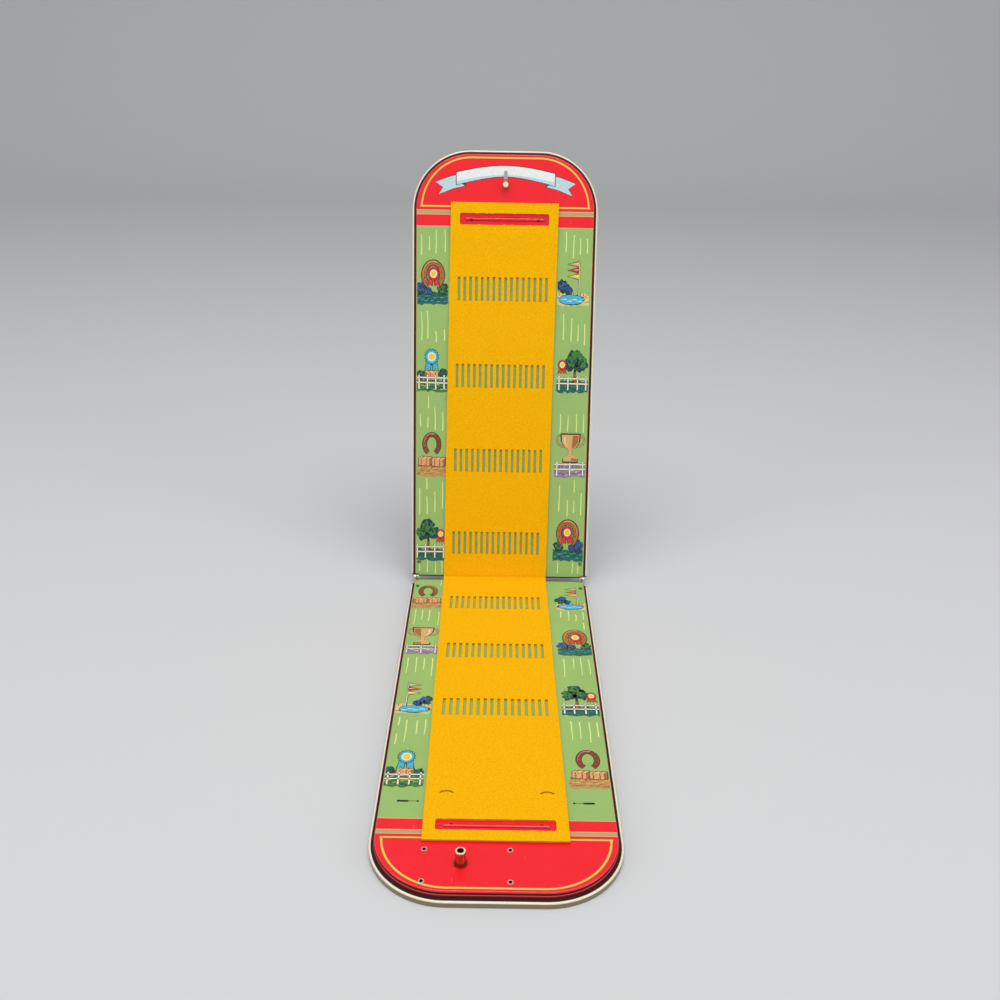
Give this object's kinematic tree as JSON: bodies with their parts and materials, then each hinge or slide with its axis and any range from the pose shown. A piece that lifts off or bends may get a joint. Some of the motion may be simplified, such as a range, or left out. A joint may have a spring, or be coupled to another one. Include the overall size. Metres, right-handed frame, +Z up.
{
  "type": "folding tin racing game board",
  "caption": "Folding racing board of two drawn tin halves on side pivots, with a slotted felt mat, a cranked star wheel that shakes the mat's bar and a thumb slide that keeps it taut.",
  "frame": {"origin": "on the floor, at the middle of the footprint of the board with its finish half raised", "axes": "+Z up; +Y along the board from the start end towards the raised finish half; +X to the right of a player at the start end"},
  "size_m": [0.1524, 0.4616, 0.3509],
  "materials": {
    "printed_tin": "gloss printed tinplate",
    "felt": "matt pressed felt",
    "bar_steel": "gloss enamel",
    "steel": "bare tinned steel",
    "nickel": "nickel plated",
    "spring_steel": "drawn wire",
    "brass": "worn brass"
  },
  "bodies": {
    "start_half": {"start_panel": "printed_tin", "start_strap_left": "steel", "start_strap_right": "steel", "start_strap_rivets": "nickel", "hinge_pivots": "nickel", "gear_bridge": "steel", "bridge_eyelets": "nickel", "crank_bush": "brass", "mat_start": "felt"},
    "crank": {"crank_post": "brass", "star_wheel": "steel", "crank_washer": "steel"},
    "shaker": {"shaker_slide": "steel", "start_mat_bar": "bar_steel"},
    "finish_half": {"finish_panel": "printed_tin", "finish_strap_left": "steel", "finish_strap_right": "steel", "finish_strap_rivets": "nickel", "spring_anchor": "steel", "mat_finish": "felt"},
    "tensioner": {"tension_slide": "steel", "finish_mat_bar": "bar_steel", "thumb_post": "brass", "tension_spring": "spring_steel"}
  },
  "joints": [
    {"name": "fold", "type": "hinge", "parent": "start_half", "child": "finish_half", "pos_m": [0, 0.12483, 0.0104], "axis": [1, 0, 0], "range_deg": [-74.35, 104]},
    {"name": "crank_turn", "type": "hinge", "parent": "start_half", "child": "crank", "pos_m": [-0.0205, -0.20627, 0.0104], "axis": [0, 0, 1], "continuous": true},
    {"name": "mat_shake", "type": "slide", "parent": "start_half", "child": "shaker", "axis": [0, 1, 0], "range_m": [0, 0.0018]},
    {"name": "mat_tension", "type": "slide", "parent": "finish_half", "child": "tensioner", "axis": [0, 0.2698, 0.9629], "range_m": [0, 0.0027]}
  ]
}
